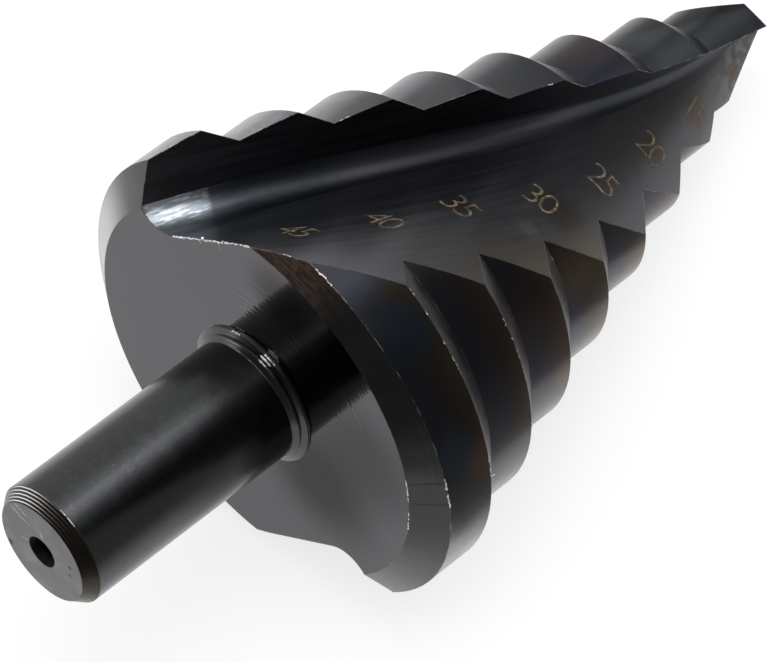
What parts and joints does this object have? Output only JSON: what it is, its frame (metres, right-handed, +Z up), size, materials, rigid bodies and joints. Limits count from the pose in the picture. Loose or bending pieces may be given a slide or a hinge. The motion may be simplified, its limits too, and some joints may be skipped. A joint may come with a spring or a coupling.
{
  "type": "step drill",
  "caption": "Solid steel step drill with spiral flutes: a stepped cone of relieved cutting lands, a split point and a plain round shank; lies on its side.",
  "frame": {"origin": "on the surface it lies on, under the centre of its bounding box", "axes": "+X along the drill toward its point as it lies, +Z up; the drill's own axis leans down toward the point by about 12 degrees in the XZ plane"},
  "size_m": [0.0898, 0.0444, 0.0406],
  "materials": {
    "tool_steel": "black oxide over ground high-speed steel, with straw, brown and blue temper tints on the lands and a satin bright back face"
  },
  "bodies": {
    "root": {"step_drill": "tool_steel"}
  },
  "joints": []
}
